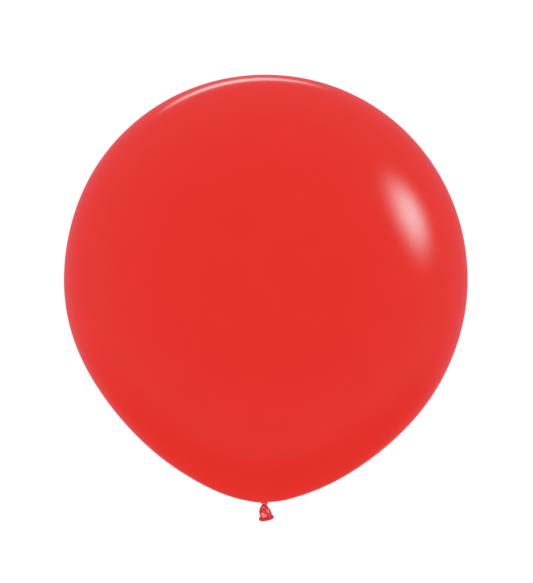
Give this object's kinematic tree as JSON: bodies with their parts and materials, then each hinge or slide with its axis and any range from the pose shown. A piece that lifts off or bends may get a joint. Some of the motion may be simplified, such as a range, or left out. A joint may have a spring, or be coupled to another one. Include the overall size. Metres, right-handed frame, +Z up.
{
  "type": "giant round latex balloon",
  "caption": "Giant round latex balloon, inflated and tied: thin closed envelope, gathered throat, overhand knot, open bell-shaped tail and rolled rim.",
  "frame": {"origin": "middle of the throat, at the lowest point of the inflated body, where the film gathers into the neck and the knot holds it", "axes": "+Z up from the throat to the crown, -Y to the front, +X to the right, the side that the tail leans to"},
  "size_m": [0.9144, 0.9144, 1.0132],
  "materials": {
    "blown_latex": "stretched opaque red latex film, smooth and glossy with a soft bloom",
    "gathered_latex": "red latex squeezed into tight gathers, satin",
    "knotted_latex": "red latex pulled tight over the knot, glossy with fine creases",
    "slack_latex": "unstretched red latex with lengthwise pleats, glossy",
    "rolled_latex": "red latex rolled into a bead, satin"
  },
  "bodies": {
    "root": {"envelope": "blown_latex", "gathered_neck": "gathered_latex", "knot": "knotted_latex", "neck_tail": "slack_latex", "rolled_rim": "rolled_latex"}
  },
  "joints": []
}
